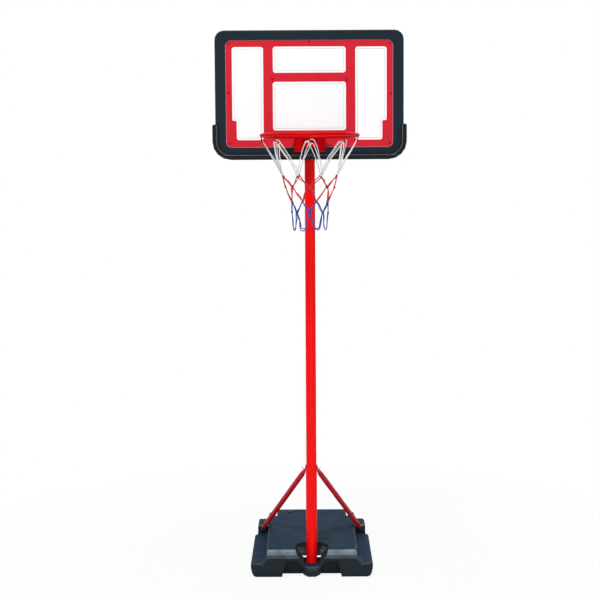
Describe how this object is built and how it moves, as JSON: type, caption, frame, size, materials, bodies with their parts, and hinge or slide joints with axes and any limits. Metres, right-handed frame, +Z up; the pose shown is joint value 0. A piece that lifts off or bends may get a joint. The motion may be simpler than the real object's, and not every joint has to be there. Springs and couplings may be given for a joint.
{
  "type": "basketball stand",
  "caption": "Portable basketball stand: wheeled water-filled base, telescoping braced pole, framed backboard, steel rim and knotted net.",
  "frame": {"origin": "on the floor, on the pole's axis, in the plane of the tank's feet", "axes": "+Z up along the pole, -Y towards the rim and the player, X across the board"},
  "size_m": [0.695, 0.8891, 1.99],
  "materials": {
    "pole_red": "gloss powder coat",
    "brace_red": "gloss powder coat, darker",
    "rim_red": "gloss powder coat",
    "tank_grey": "blow-moulded polyethylene, faint sheen",
    "black_plastic": "moulded",
    "board_grey": "moulded, satin",
    "bumper_grey": "moulded, satin",
    "panel_red": "sheet printed red with white fields",
    "black_steel": "satin black",
    "zinc": "bright zinc plate",
    "rubber": "matte",
    "cord_white": "braided cord",
    "cord_red": "braided cord",
    "cord_blue": "braided cord"
  },
  "bodies": {
    "base": {"base_tank": "tank_grey", "wheel_axle": "zinc", "axle_cap_left": "black_plastic", "axle_cap_right": "black_plastic", "pole_foot_plug": "black_plastic", "foot_rod": "zinc", "lower_pole": "pole_red", "brace_left": "brace_red", "brace_right": "brace_red", "stud_washer_left": "zinc", "stud_washer_right": "zinc", "stud_nut_left": "zinc", "stud_nut_right": "zinc", "foot_washer_left": "black_steel", "foot_washer_right": "black_steel", "foot_bolt_left": "black_steel", "foot_bolt_right": "black_steel"},
    "mast": {"mast_lower": "pole_red", "mast_upper": "pole_red", "mast_plug": "black_plastic", "backboard_frame": "board_grey", "face_panel": "panel_red", "edge_bumper": "bumper_grey", "strap_upper": "black_steel", "strap_lower": "black_steel", "rim_ring": "rim_red", "rim_bracket": "rim_red", "net_white": "cord_white", "net_red": "cord_red", "net_blue": "cord_blue", "pole_bolt_upper": "zinc", "pole_nut_upper": "zinc", "pole_bolt_lower": "zinc", "pole_nut_lower": "zinc", "face_bolt_left": "brace_red", "face_nut_left": "zinc", "face_bolt_right": "brace_red", "face_nut_right": "zinc", "rim_bolt_left": "zinc", "rim_nut_left": "zinc", "rim_bolt_right": "zinc", "rim_nut_right": "zinc"},
    "height_lock": {"lock_knob": "black_plastic", "lock_screw": "zinc"},
    "wheel_left": {"wheel_left": "black_plastic"},
    "wheel_right": {"wheel_right": "black_plastic"},
    "filler": {"filler_cap": "black_plastic", "cap_seal": "rubber"}
  },
  "joints": [
    {"name": "pole_height", "type": "slide", "parent": "base", "child": "mast", "axis": [0, 0, 1], "range_m": [-0.22, 0]},
    {"name": "lock_knob_turn", "type": "hinge", "parent": "base", "child": "height_lock", "pos_m": [0, 0.02065, 0.35], "axis": [0, 1, 0], "range_deg": [0, 360]},
    {"name": "wheel_left_spin", "type": "hinge", "parent": "base", "child": "wheel_left", "pos_m": [-0.1625, 0.434, 0.048], "axis": [1, 0, 0], "continuous": true},
    {"name": "wheel_right_spin", "type": "hinge", "parent": "base", "child": "wheel_right", "pos_m": [0.1625, 0.434, 0.048], "axis": [1, 0, 0], "continuous": true},
    {"name": "filler_cap_lift", "type": "slide", "parent": "base", "child": "filler", "axis": [0, 0, 1], "range_m": [0, 0.04]}
  ]
}
